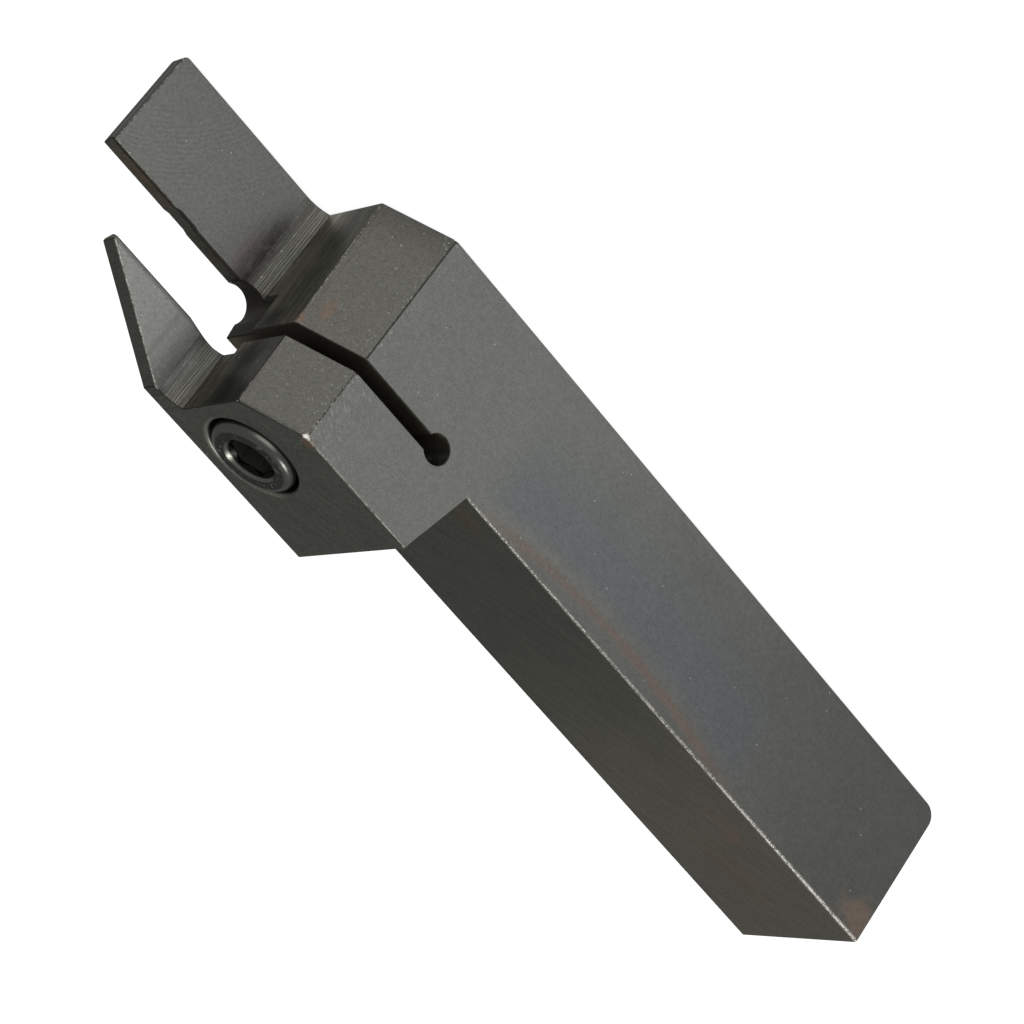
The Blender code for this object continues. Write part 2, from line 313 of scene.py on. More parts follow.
flank_tone = mix(tree, soften(tree, along_bar, -52.0, 14.0), tone(79, 79, 76), tone(109, 110, 106))
blade_tone = mix(tree, on_jaw, tone(107, 107, 103), tone(134, 135, 130))
flank_tone = mix(tree, on_blade, flank_tone, blade_tone)
upper_tone = mix(tree, soften(tree, along_bar, -36.0, -1.0), tone(105, 102, 94), tone(82, 84, 76))
upper_tone = mix(tree, soften(tree, Z, 20.0, 23.0), upper_tone, tone(88, 90, 82))
facet_height = soften(tree, scaled(tree, ragged, 4.0, Z), 1.0, 6.5)
facet_tone = mix(tree, facet_height, tone(84, 83, 78), tone(99, 98, 93))

colour = mix(tree, upper, tone(84, 83, 78), upper_tone)
colour = mix(tree, flank, colour, flank_tone)
colour = mix(tree, facet, colour, facet_tone)
print("broad tones laid")

# %% [markdown]
# ## The shoulder, the pocket and the slit
#
# The shoulder looks forward along the blade and mirrors it, so its tone is a painted
# reflection: it climbs from the bevelled corner towards the blade and has three levels
# from bottom to top. Beside the pocket it would mirror the white table, so painted shade
# darkens it there, and it is duller too. The pocket's round wall gets painted shade, the
# slit's floor has a tone of its own, and a painted highlight, a pale crescent, lies along
# one side of the rim of the screw's counterbore.

# %% Tones of the shoulder, the pocket and the slit
SCREW_MIDDLE = (0.0243, 0.00165)


def off_screw_axis(tree, place):
    """How far a place lies from the screw's axis, in millimetres."""
    middle = (SCREW_MIDDLE[0] * 1000, SCREW_MIDDLE[1] * 1000, 0.0)
    flat = vector(tree, "MULTIPLY", vector(tree, "SUBTRACT", place, middle), (1, 1, 0))
    return vector(tree, "LENGTH", flat)


# Painted reflection: the shoulder's tones climb towards the blade and change with height, as its mirror image
# would.
toward_blade = soften(tree, Y, 0.0, 5.4)
low_shoulder_reflection = mix(tree, toward_blade, tone(62, 61, 55), tone(120, 118, 108))
middle_shoulder_reflection = mix(tree, toward_blade, tone(92, 91, 83), tone(150, 148, 136))
high_shoulder_reflection = mix(tree, toward_blade, tone(44, 43, 39), tone(112, 110, 101))
front_tone = mix(tree, soften(tree, Z, 2.8, 6.5), low_shoulder_reflection, middle_shoulder_reflection)
front_tone = mix(tree, soften(tree, Z, 13.0, 18.0), front_tone, high_shoulder_reflection)
by_pocket = overlap(tree, soften(tree, Z, 10.0, 13.2), soften(tree, Z, 20.8, 18.2),
                    soften(tree, Y, -2.5, 1.5))
# Painted shade: beside the pocket the shoulder is darkened towards black, where it would mirror the white
# table.
painted_shade_by_pocket = overlap(tree, by_pocket, scaled(tree, soften(tree, Z, 14.9, 16.2), -0.34, 0.78))
front_tone = mix(tree, painted_shade_by_pocket, front_tone, BLACK)
front_tone = mix(tree, soften(tree, X, 45.0, 48.0), front_tone, tone(40, 39, 35))
colour = mix(tree, front, colour, front_tone)

# Painted shade: the pocket's round wall, in the recess, gets a darker tone.
shaded_pocket_wall = overlap(tree, soften(tree, Y, 3.3, 3.6), soften(tree, Z, 10.0, 10.3),
                      soften(tree, Z, 17.6, 17.3), soften(tree, X, 34.0, 33.0),
                      soften(tree, X, 30.2, 30.4), soften(tree, to_near, 0.9, 0.6))
not_pocket = opposite(tree, shaded_pocket_wall)
colour = coat(tree, colour, shaded_pocket_wall, 0.92, mix(tree, front, tone(58, 56, 49), tone(48, 47, 42)))
slit_floor = overlap(tree, upper, soften(tree, Z, 14.9, 14.7), soften(tree, X, 31.4, 31.2))
colour = coat(tree, colour, slit_floor, 0.85, tone(100, 94, 80))
from_screw = off_screw_axis(tree, place)
# Painted highlight: a pale crescent on one side of the counterbore's rim, facing the hard lamp.
painted_rim_highlight = overlap(tree, soften(tree, from_screw, 5.05, 4.9), soften(tree, from_screw, 4.55, 4.62),
                   soften(tree, Z, 23.4, 23.5), soften(tree, Y, 0.6, 3.6))
colour = coat(tree, colour, painted_rim_highlight, 0.55, tone(138, 136, 126))
print("shoulder, pocket, slit and rim laid")

# %% [markdown]
# ## Heat tints and rust
#
# Where steel gets hot its oxide thickens, and the tint goes from straw over brown to blue.
# On the near flank a long shallow arc of brown runs below the upper edge with blue under
# it, as if the bar had lain against something hot. A circle of 87 mm radius follows it.
# Small rust stains sit in a few corners. Each stain is a soft ellipsoid with ragged rims.

# %% Heat tints and rust
ARC_MIDDLE = (-10.0, 0.0, 100.95)
ARC_RADIUS = 87.0
STAINS = (  # middle, half size, tone and strength of each
    ((-48.9, -8.0, 14.0), (3.8, 2.0, 3.0), tone(122, 100, 86), 0.40),
    ((-33.4, -3.8, 16.0), (4.0, 1.8, 1.0), tone(128, 106, 88), 0.36),
    ((-40.0, 0.5, 16.0), (10.0, 4.5, 1.0), tone(110, 98, 86), 0.40),
    ((8.0, -5.5, 16.0), (3.0, 1.6, 1.0), tone(100, 80, 66), 0.40),
    ((29.6, -4.2, 12.0), (0.9, 0.9, 1.8), tone(122, 98, 84), 0.45),
    ((30.7, -3.2, 14.0), (0.8, 0.8, 0.7), tone(120, 96, 82), 0.60),
    ((25.1, -7.4, 23.7), (1.0, 0.8, 0.8), tone(118, 92, 72), 0.60),
    ((34.4, 6.0, 8.4), (1.6, 1.0, 3.2), tone(108, 88, 92), 0.35),
    ((46.0, 7.2, 10.6), (5.6, 1.1, 0.9), tone(98, 84, 73), 0.65),
    ((36.6, 7.2, 10.6), (4.0, 1.0, 0.9), tone(74, 62, 54), 0.50),
)


def ring_distance(tree, place, middle, radius):
    """How far a place lies outside a circle in the side view."""
    flat = vector(tree, "MULTIPLY", place, (1, 0, 1))
    return number(tree, "SUBTRACT", vector(tree, "DISTANCE", flat, middle), radius)


def stain(tree, place, noise, middle, half_size):
    """A mask that is 1 in the middle of an ellipsoid. A noise makes its rim ragged."""
    shift = tuple(-m / s for m, s in zip(middle, half_size))
    moved = moved_place(tree, place, Location=shift, Scale=tuple(1 / s for s in half_size))
    return soften(tree, sway(tree, noise, 1.6, vector(tree, "LENGTH", moved)), 1.0, 0.25)


below_arc = sway(tree, ragged, 0.7, ring_distance(tree, place, ARC_MIDDLE, ARC_RADIUS))
arc_span = near_value(tree, X, ARC_MIDDLE[0], 22.0, 12.0)
near_flank = overlap(tree, soften(tree, to_near, 0.9, 0.98), soften(tree, X, 25.0, 24.0))
above_arc = overlap(tree, soften(tree, below_arc, -0.1, -0.9), arc_span, near_flank)
colour = coat(tree, colour, above_arc, 0.45, tone(86, 86, 84))
blue_zone = overlap(tree, soften(tree, below_arc, 0.6, 2.4), soften(tree, below_arc, 14.0, 4.0),
                    soften(tree, arc_span, 0.0, 0.6), near_flank)
colour = coat(tree, colour, blue_zone, 0.34, tone(80, 89, 99))
brown_arc = overlap(tree, near_value(tree, below_arc, 0.0, 0.85, 0.15), arc_span, near_flank)
colour = coat(tree, colour, brown_arc, 0.50, tone(106, 88, 78))
for middle, half_size, rust, strength in STAINS:
    colour = coat(tree, colour, stain(tree, place, ragged, middle, half_size), strength, rust)
print(len(STAINS), "stains and one arc laid")

# %% [markdown]
# ## The burnt band and painted shade
#
# Where the blade grows out of the head, the cutter ran hot and left a dark mottled band,
# and part of its darkness is painted shade, where the fillet would mirror the dark room.
# It fades out towards the underside and is weaker on the jaw. The fillet beside it gets
# painted shade near the pocket and a painted sheen at the bottom.

# %% Burnt band and painted shade
hair = grain(tree, place, 2.5, 2.0, 0.6, stretch=(1.0, 1.0, 0.10), shift=(7, 3, 1))
mottle = grain(tree, place, 1.5, 3.0, 0.7, stretch=(1.0, 1.0, 0.6), shift=(8, 1, 3))

# Painted shade on the fillet near the pocket, and a painted sheen at its bottom.
root_painted_shade = overlap(tree, root, soften(tree, Z, 6.0, 10.5), soften(tree, Z, 16.0, 12.0))
colour = coat(tree, colour, root_painted_shade, 0.32, BLACK)
root_painted_sheen = overlap(tree, root, soften(tree, Z, 5.5, 1.0))
colour = coat(tree, colour, root_painted_sheen, 0.22, tone(160, 158, 150))

# The dark band is partly a heat stain and partly painted shade.
band_middle = scaled(tree, soften(tree, Z, 0.0, 20.0), -0.3, 33.4)
band_offset = number(tree, "SUBTRACT", sway(tree, hair, 1.6, X), band_middle)
burnt_and_painted_shade = overlap(tree, soften(tree, band_offset, 2.2, 0.0), soften(tree, band_offset, -1.2, -0.6),
                soften(tree, scaled(tree, ragged, 5.0, Z), 2.0, 8.0), on_blade,
                scaled(tree, soften(tree, mottle, 0.34, 0.54), 0.45, 0.55),
                scaled(tree, soften(tree, Z, 15.0, 17.5), -0.45, 0.85))
colour = mix(tree, burnt_and_painted_shade, colour, tone(64, 62, 59))
print("burnt band laid")

# %% [markdown]
# ## The cutter's streaks
#
# Beside the band the cutter left streaks that run straight down the fillet. Their light and
# dark lines are painted highlights and painted shade, standing in for the light that the
# shallow flutes catch or miss. The boldest are listed one by one, as a place along the bar
# and half a width, and a noise bends and fades them. The finest come from a noise that is
# stretched fifty times or more along one axis: it changes quickly across the streaks and
# hardly at all along them. The last lines are one dim streak on the jaw and one pale line
# down the blade's end.

# %% Streaks
# The light streaks are painted highlights and the dark ones painted shade.
PAINTED_HIGHLIGHT_STREAKS = ((31.13, 0.06), (31.36, 0.07), (31.60, 0.05), (31.80, 0.05), (32.02, 0.06), (32.24, 0.07))
PAINTED_SHADE_STREAKS = ((30.97, 0.09), (31.25, 0.05), (31.49, 0.05), (31.70, 0.04), (31.91, 0.05), (32.13, 0.05),
                (32.55, 0.16))
JAW_LINE = ((35.85, 0.35),)
END_LINE = ((6.95, 0.14),)


def stripes(tree, across, lines):
    """1 on each thin line of (middle, half width), 0 between them."""
    total = None
    for middle, half_width in lines:
        line = near_value(tree, across, middle, half_width, half_width * 0.3)
        total = line if total is None else number(tree, "MAXIMUM", total, line)
    return total


streaks = grain(tree, place, 5.0, 3.0, 0.75, stretch=(1.0, 1.0, 0.012))
fading = grain(tree, place, 1.6, 2.0, 0.6, stretch=(1.0, 1.0, 0.25), shift=(6, 2, 9))
bent = sway(tree, hair, 0.22, X)
streak_zone = overlap(tree, past_shoulder, soften(tree, X, 32.8, 32.2), not_far_side, not_pocket)
bold = overlap(tree, streak_zone, on_blade,
               scaled(tree, soften(tree, fading, 0.30, 0.56), 0.7, 0.3), not_front)
bold_painted_highlight = overlap(tree, stripes(tree, bent, PAINTED_HIGHLIGHT_STREAKS), bold)
colour = coat(tree, colour, bold_painted_highlight, 0.34, tone(150, 149, 141))
bold_painted_shade = overlap(tree, stripes(tree, bent, PAINTED_SHADE_STREAKS), bold)
colour = coat(tree, colour, bold_painted_shade, 0.55, tone(50, 49, 45))
# The fine dark streaks are painted shade too.
fine_painted_shade = overlap(tree, streak_zone, soften(tree, streaks, 0.50, 0.36), not_front)
colour = coat(tree, colour, fine_painted_shade, 0.38, tone(46, 45, 41))
jaw_line = overlap(tree, stripes(tree, bent, JAW_LINE), on_blade, on_jaw)
colour = coat(tree, colour, jaw_line, 0.18, tone(64, 62, 59))
drawn = grain(tree, place, 6.0, 3.0, 0.8, stretch=(1.0, 1.0, 0.02), shift=(2, 8, 5))
drawn = overlap(tree, soften(tree, drawn, 0.50, 0.62), front, soften(tree, X, 33.0, 32.0), not_pocket)
colour = mix(tree, drawn, colour, (2.3, 2.3, 2.25, 1.0), "MULTIPLY")
end_line = overlap(tree, stripes(tree, Y, END_LINE), front, soften(tree, X, 48.0, 49.0))
colour = coat(tree, colour, end_line, 0.55, tone(112, 110, 102))
print(len(PAINTED_HIGHLIGHT_STREAKS) + len(PAINTED_SHADE_STREAKS), "bold streaks and a noise of fine ones")

# %% [markdown]
# ## Cutter marks and grain
#
# The blade's side was milled with a large cutter, which left arcs 0.45 mm apart about one
# centre beyond the tip. The upper faces carry long sweeps that lie askew. The whole bar has
# a fine blasted grain and faint lines along its length. All of them are added up into one
# shade, which multiplies the colour.

# %% Marks and grain
MILL_MIDDLE = (60.2, 0.0, -7.0)
MILL_PITCH = 0.45
SWEEP_TURN = math.radians(-27)

mill = sway(tree, ragged, 0.9, ring_distance(tree, place, MILL_MIDDLE, 0.0))
mill_wave = number(tree, "SINE", number(tree, "MULTIPLY", mill, math.tau / MILL_PITCH))
mill_patches = soften(tree, grain(tree, place, 0.35, 2.0, 0.5, shift=(3, 9, 2)), 0.35, 0.65)
mill_wave = overlap(tree, mill_wave, on_blade, soften(tree, X, 35.0, 39.0), mill_patches)
bar_lines = grain(tree, place, 3.5, 3.0, 0.7, stretch=(0.05, 1.0, 1.0))
grit = grain(tree, place, 6.0, 3.0, 0.75)
dust = grain(tree, place, 2.4, 4.0, 0.8, shift=(4, 4, 4))
askew = moved_place(tree, place, Rotation=(0, 0, SWEEP_TURN))
sweeps = grain(tree, askew, 1.6, 3.0, 0.7, stretch=(0.12, 1.0, 1.0), shift=(9, 3, 2))

coarse = overlap(tree, number(tree, "MAXIMUM", facet, soften(tree, X, 5.0, 24.0)), not_blade)
grit_share = scaled(tree, upper, 0.40, scaled(tree, coarse, 0.45, 0.82))
shade = sway(tree, grit, grit_share, 1.0)
shade = sway(tree, dust, 0.70, shade)
shade = scaled(tree, mill_wave, 0.07, shade)
shade = sway(tree, sweeps, number(tree, "MULTIPLY", upper, 0.55), shade)
shade = sway(tree, bar_lines, scaled(tree, upper, 0.16, 0.12), shade)
shade_colour = place_node(tree, "ShaderNodeCombineColor", None, i0=shade, i1=shade, i2=shade).outputs[0]
colour = mix(tree, 1.0, colour, shade_colour, "MULTIPLY")
print("marks and grain laid")

# %% [markdown]
# ## Specks and scuffs
#
# Pin pricks are places where the skin was knocked through. They are sprinkled over the
# whole bar and crowd round the bevelled corner. Beside that corner the flank is nicked and
# carries slanted scuffs.

# %% Specks and scuffs
CORNER_X = 25.65
SCUFF_TURN = math.radians(-40)


def specks(tree, place, per_mm, share, size):
    """Round pin pricks: one cell in so many holds a dot, whose centre wanders in the cell."""
    cell = place_node(tree, "ShaderNodeTexVoronoi", {"feature": "F1"}, Vector=place, Scale=per_mm)
    lucky = place_node(tree, "ShaderNodeSeparateColor", None, i0=cell.outputs["Color"]).outputs[0]
    dot = soften(tree, cell.outputs["Distance"], size, size * 0.4)
    return overlap(tree, dot, soften(tree, lucky, 1.0 - share, 1.0 - share * 0.8))


at_corner = soften(tree, number(tree, "ADD", facet, soften(tree, X, 17.0, 25.6)), 0.3, 1.0)
sprinkle = specks(tree, place, 1.3, 0.12, 0.13)
crowd = overlap(tree, specks(tree, place, 2.4, 0.22, 0.22), at_corner, not_blade)
pricks = number(tree, "MAXIMUM", sprinkle, number(tree, "MULTIPLY", crowd, 0.55))
pricks = overlap(tree, number(tree, "MULTIPLY", pricks, 0.6), scaled(tree, upper, -0.6, 1.0))

nicks = soften(tree, grain(tree, place, 3.2, 3.0, 0.7, shift=(5, 1, 7)), 0.60, 0.70)
nicks = overlap(tree, nicks, near_value(tree, X, CORNER_X, 1.3, 0.2), at_corner)
slanted = moved_place(tree, place, Rotation=(0, SCUFF_TURN, 0))
scuffs = grain(tree, slanted, 3.4, 3.0, 0.75, stretch=(0.30, 1.0, 1.0), shift=(3, 3, 8))
scuffs = overlap(tree, soften(tree, scuffs, 0.52, 0.66),
                 soften(tree, sway(tree, cloud, 8.0, X), 19.0, 25.4), flank,
                 soften(tree, Z, 13.0, 17.5), soften(tree, to_near, 0.5, 0.9),
                 opposite(tree, past_shoulder))
nicks = number(tree, "MAXIMUM", number(tree, "MULTIPLY", nicks, 0.60), number(tree, "MULTIPLY", scuffs, 0.30))
colour = mix(tree, number(tree, "MAXIMUM", pricks, nicks), colour, tone(185, 185, 178))
print("specks and scuffs laid")

# %% [markdown]
# ## Bare edges
#
# A broken edge mirrors the dark of the room, so most edges show as a thin dark line; here
# that line is painted shade, a dark tone laid on the bevels and along the top of the
# bevelled corner. Handling rubs the skin off the proudest of them. The mesh carries a
# number on each face, "worn", that is 0 on the broad faces and up to 1 on the bevels that
# suffered most. Where it and a noise together pass a threshold, bright steel shows, in
# beads and gaps. Along the upper edges of the shank and the head a thin rubbed line also
# lies on the near flank.

# %% Bare edges
worn = place_node(tree, "ShaderNodeAttribute", {"attribute_name": "worn"}).outputs["Fac"]
beads = grain(tree, place, 4.2, 4.0, 0.8, shift=(1, 5, 8))

# Painted shade: a dark tone on the bevels stands for the dark room that they mirror.
painted_edge_shade = overlap(tree, soften(tree, worn, 0.02, 0.15), soften(tree, worn, 0.52, 0.34))
colour = coat(tree, colour, painted_edge_shade, 0.65, tone(36, 35, 31))
# Painted shade: a ragged dark line along the top of the bevelled corner.
facet_rim_painted_shade = overlap(tree, facet, soften(tree, Z, 23.42, 23.60), soften(tree, beads, 0.40, 0.54))
colour = coat(tree, colour, facet_rim_painted_shade, 0.60, tone(40, 39, 35))
shank_rub = overlap(tree, soften(tree, Z, 15.79, 15.90), soften(tree, Z, 16.1, 16.0),
                    soften(tree, X, 10.6, 10.3))
head_rub = overlap(tree, soften(tree, Z, 23.50, 23.66), soften(tree, X, 12.0, 20.0))
edge_rub = overlap(tree, number(tree, "MAXIMUM", shank_rub, head_rub),
                   soften(tree, to_near, 0.5, 0.7), not_blade,
                   scaled(tree, soften(tree, beads, 0.46, 0.66), 0.40, 0.12),
                   scaled(tree, facet, -0.85, 1.0))
colour = mix(tree, edge_rub, colour, tone(168, 166, 158))
wear = number(tree, "ADD", worn, sway(tree, ragged, 0.30, beads))
bare = overlap(tree, soften(tree, wear, 0.88, 1.08), soften(tree, worn, -0.3, 0.9))
colour = mix(tree, bare, colour, tone(180, 178, 170))
print("edges rubbed")

# %% [markdown]
# ## The shader
#
# The skin is nearly all metal to the light. Any surface turns into a mirror when it is seen
# at a flat angle, however dark it is, and the real skin does so less, so a grey grazing
# tint holds that back. Bare steel is smoother than the skin, and the skin by the pocket is
# duller. The relief is a matter of micrometres, just enough to break up a reflection.

# %% From colour, roughness and relief to the finish
METAL_SHARE = 0.88
GRAZING_TINT = (0.55, 0.55, 0.55, 1.0)
RELIEF_DEPTH = 0.000012
RELIEF_STRENGTH = 0.5


def finish_shader(tree, shader, colour, rough, relief):
    """Feed a shader with its colour, its roughness and its relief."""
    tree.links.new(colour, shader.inputs["Base Color"])
    tree.links.new(rough, shader.inputs["Roughness"])
    shader.inputs["Metallic"].default_value = METAL_SHARE
    shader.inputs["Specular Tint"].default_value = GRAZING_TINT
    bump = place_node(tree, "ShaderNodeBump", None, Strength=RELIEF_STRENGTH, Distance=RELIEF_DEPTH,
                      Height=relief)
    tree.links.new(bump.outputs[0], shader.inputs["Normal"])


rough = scaled(tree, bare, -0.12, scaled(tree, ragged, 0.16, 0.34))
dull = number(tree, "MAXIMUM", overlap(tree, by_pocket, front), shaded_pocket_wall)
rough = scaled(tree, dull, 0.28, rough)
relief = scaled(tree, bar_lines, 0.6, scaled(tree, mill_wave, 0.5, grit))
relief = scaled(tree, overlap(tree, streaks, streak_zone), 4.0, relief)
finish_shader(tree, shader, colour, rough, relief)
print("blackened steel has", len(tree.nodes), "nodes")

# %% [markdown]
# ## The bar with its edges broken
#
# The solid's edges are knife sharp, and no real edge is. A copy of the solid gets its loose
# triangles merged and its flat faces joined. The fillet at the blade's root gets the
# shallow flutes that the cutter left, cut by a pie-shaped solid with a scalloped rim. Then
# a few corners are chipped and every sharp edge gets a narrow bevel.

# %% A copy that can be edited
SHOULDER_X = 0.03085
SHOULDER_LEAN = 0.0005
HEAD_TOP = 0.02375
BLADE_Y = 0.00605
ROOT_RADIUS = 0.0040
ROOT_RUN = 0.0025
FLUTES = tuple(micrometres * 1e-6 for micrometres in (12, 6, 10, 14, 7, 11, 13, 6, 10, 8, 5))
STEPS_PER_FLUTE = 7
CUTTER_FOOT = -0.001
CUTTER_TOP = 0.025
MERGE_REACH = 1e-6
FLAT_STEP = math.radians(0.5)


def merge_and_flatten(work):
    """Join loose triangles into one closed mesh of flat faces."""
    bmesh.ops.remove_doubles(work, verts=work.verts, dist=MERGE_REACH)
    bmesh.ops.dissolve_limit(work, angle_limit=FLAT_STEP, verts=work.verts, edges=work.edges)


def flute_section(z):
    """The pie at one height: its point in the air, its rim a row of shallow scallops."""
    shoulder = SHOULDER_X + SHOULDER_LEAN * (0.5 - z / HEAD_TOP)
    middle = (shoulder + ROOT_RUN, BLADE_Y - ROOT_RADIUS)
    sweep = math.asin(ROOT_RUN / ROOT_RADIUS)
    ring = [(middle[0], middle[1], z)]
    for flute, depth in enumerate(FLUTES):
        for step in range(STEPS_PER_FLUTE):
            share = (flute + step / STEPS_PER_FLUTE) / len(FLUTES)
            angle = math.radians(90) + sweep * (1 - share)
            reach = ROOT_RADIUS + depth * math.sin(math.pi * step / STEPS_PER_FLUTE)
            ring.append((middle[0] + reach * math.cos(angle), middle[1] + reach * math.sin(angle), z))
    ring.append((middle[0], BLADE_Y, z))
    return ring


def closed_loft(name, sections):
    """A closed mesh through rings of points that have the same count."""
    work = bmesh.new()
    rings = [[work.verts.new(point) for point in ring] for ring in sections]
    for near, far in zip(rings, rings[1:]):
        for here in range(len(near)):
            after = (here + 1) % len(near)
            work.faces.new((near[here], near[after], far[after], far[here]))
    work.faces.new(rings[0])
    work.faces.new(rings[-1])
    bmesh.ops.recalc_face_normals(work, faces=work.faces)
    mesh = bpy.data.meshes.new(name)
    work.to_mesh(mesh)
    work.free()
    return mesh


def show(name, mesh):
    """Put a mesh in the scene."""
    made = bpy.data.objects.new(name, mesh)
    bpy.context.scene.collection.objects.link(made)
    return made


def cut_out(piece, cutters):
    """Take the cutters out of the piece. The cutters are used up."""
    for cutter in cutters:
        boolean = piece.modifiers.new(cutter.name, "BOOLEAN")
        boolean.operation = "DIFFERENCE"
        boolean.solver = "EXACT"
        boolean.object = cutter
    evaluated = piece.evaluated_get(bpy.context.evaluated_depsgraph_get())
    mesh = bpy.data.meshes.new_from_object(evaluated)
    piece.modifiers.clear()
    piece.data = mesh
    for cutter in cutters:
        bpy.data.objects.remove(cutter, do_unlink=True)


def give_finish(piece, material):
    """Give a piece its one material."""
    piece.data.materials.clear()
    piece.data.materials.append(material)


holder = show("holder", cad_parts["holder_body"].data.copy())
work = bmesh.new()
work.from_mesh(holder.data)
merge_and_flatten(work)
work.to_mesh(holder.data)
work.free()
flute_ends = [flute_section(CUTTER_FOOT), flute_section(CUTTER_TOP)]
cut_out(holder, [show("flutes", closed_loft("flutes", flute_ends))])
print("fluted copy:", len(holder.data.polygons), "faces")

# %% [markdown]
# ## Which edges are worn
#
# Which edges are rubbed bare is a matter of where they are, so a short list of lines in
# space says how worn the bevels along each are. The screw's hole keeps its skin.

# %% Worn lines
HEEL_X = -0.05025
TIP_X = 0.05025
BEVEL_X = 0.02565
STEP_X = 0.01025
STEP_LEAN = 0.002
NEAR_Y = -0.008
FAR_Y = 0.008
SHANK_TOP = 0.0160
SEAT_TOP = 0.01075
SLIT_FLOOR = 0.01455
COUNTERBORE_REACH = 0.0053
LINE_REACH = 0.0004
PLAIN_WEAR = 0.22
WORN_LINES = (
    ((BEVEL_X - 0.005, NEAR_Y, HEAD_TOP), (BEVEL_X, NEAR_Y, HEAD_TOP), 0.60),
    ((STEP_X + 0.0021, NEAR_Y, HEAD_TOP), (BEVEL_X - 0.005, NEAR_Y, HEAD_TOP), 0.50),
    ((HEEL_X, NEAR_Y, SHANK_TOP), (STEP_X, NEAR_Y, SHANK_TOP), 0.50),
    ((BEVEL_X, NEAR_Y, SHANK_TOP), (BEVEL_X, NEAR_Y, HEAD_TOP), 0.40),
    ((BEVEL_X, NEAR_Y, 0.0070), (BEVEL_X, NEAR_Y, SLIT_FLOOR), 0.30),
    ((BEVEL_X, NEAR_Y, HEAD_TOP), (SHOULDER_X, -0.003, HEAD_TOP), 0.29),
    ((0.0335, BLADE_Y, HEAD_TOP), (0.0447, BLADE_Y, 0.0171), 0.48),
    ((0.0334, FAR_Y, 0.01063), (0.0323, FAR_Y, 0.01034), 0.75),
    ((0.0423, BLADE_Y, SEAT_TOP), (TIP_X, BLADE_Y, SEAT_TOP), 0.46),
    ((0.0335, BLADE_Y, SEAT_TOP), (0.0423, BLADE_Y, SEAT_TOP), 0.30),
    ((TIP_X, BLADE_Y, 0.0), (TIP_X, BLADE_Y, SEAT_TOP), 0.42),
    ((STEP_X, NEAR_Y, SHANK_TOP), (STEP_X + STEP_LEAN, NEAR_Y, HEAD_TOP), 0.34),
    ((SHOULDER_X - 0.0002, -0.003, SHANK_TOP), (SHOULDER_X - 0.0002, -0.0032, HEAD_TOP), 0.34),
    ((SHOULDER_X + 0.00025, -0.0027, 0.0), (SHOULDER_X - 0.00006, -0.00303, SLIT_FLOOR), 0.42),
)


def wear_at(point):
    """How worn an edge is at a point: the value of the line it lies on, or the plain one."""
    if math.dist(point.xy, SCREW_MIDDLE) < COUNTERBORE_REACH:
        return 0.0
    for start, end, value in WORN_LINES:
        start, end = Vector(start), Vector(end)
        share = min(1.0, max(0.0, (point - start).dot(end - start) / (end - start).length_squared))
        if (start.lerp(end, share) - point).length < LINE_REACH:
            return value
    return PLAIN_WEAR


print(len(WORN_LINES), "worn lines")

# %% [markdown]
# ## Bevels that know how worn they are
#
# Broad flat faces are shaded flat, and only the bevels and the turned walls are shaded
# smooth, or the big faces would look dented. The few chips are single corners cut off
# before the edges are broken, and they are the barest places of all.

# %% Chips and broken edges
BREAK_WIDTH = 0.00010
CHIP_WIDTH = 0.00028
WIDE_CHIP = 0.0004
CHIP_REACH = 0.0005
CHIP_WEAR = 0.9
SHANK_BEVEL_Z = 0.0159
SHANK_BEVEL_REACH = 0.0002
FLUSH_STEP = math.radians(1.0)
ROUND_STEP = math.radians(16)
SHARP_STEP = math.radians(26)
BROAD_FACE = 10e-6
CHIPPED_CORNERS = (
    ((BEVEL_X, NEAR_Y, HEAD_TOP), WIDE_CHIP), ((STEP_X + STEP_LEAN, NEAR_Y, HEAD_TOP), CHIP_WIDTH),
    ((SHOULDER_X, -0.0031, HEAD_TOP), CHIP_WIDTH), ((BEVEL_X, NEAR_Y, 0.0), CHIP_WIDTH),
    ((BEVEL_X, NEAR_Y, SHANK_TOP), CHIP_WIDTH),
)


def is_sharp(edge):
    """An edge where the surface turns by more than the sharp step."""
    return len(edge.link_faces) == 2 and edge.calc_face_angle() > SHARP_STEP


def is_broken_shank_edge(face, middle):
    """A bevel along the shank's upper edge that the solid already has."""
    at_edge = abs(middle.z - SHANK_BEVEL_Z) < SHANK_BEVEL_REACH
    return at_edge and 0.5 < face.normal.z < 0.9 and abs(face.normal.y) > 0.4


work = bmesh.new()
work.from_mesh(holder.data)
merge_and_flatten(work)
print("open edges:", sum(1 for edge in work.edges if len(edge.link_faces) != 2))
worn_layer = work.faces.layers.float.new("worn")
for face in work.faces:
    on_round = any(FLUSH_STEP < edge.calc_face_angle(0.0) < ROUND_STEP for edge in face.edges)
    face.smooth = on_round and face.calc_area() < BROAD_FACE
chips = 0
for corner, chip_width in CHIPPED_CORNERS:
    close = [vert for vert in work.verts if (vert.co - Vector(corner)).length < CHIP_REACH]
    if close:
        vert = min(close, key=lambda v: (v.co - Vector(corner)).length)
        chip = bmesh.ops.bevel(work, geom=[vert], offset=chip_width, segments=1, affect="VERTICES")
        for face in chip["faces"]:
            face[worn_layer] = CHIP_WEAR
        chips += 1
made = bmesh.ops.bevel(work, geom=[edge for edge in work.edges if is_sharp(edge)], offset=BREAK_WIDTH,
                       segments=2, profile=0.5, affect="EDGES", clamp_overlap=False)
for face in made["faces"]:
    face.smooth = True
    face[worn_layer] = wear_at(face.calc_center_median())
for face in work.faces:
    middle = face.calc_center_median()
    if is_broken_shank_edge(face, middle):
        face[worn_layer] = wear_at(middle)
bmesh.ops.triangulate(work, faces=[face for face in work.faces if len(face.verts) > 4])
work.to_mesh(holder.data)
work.free()
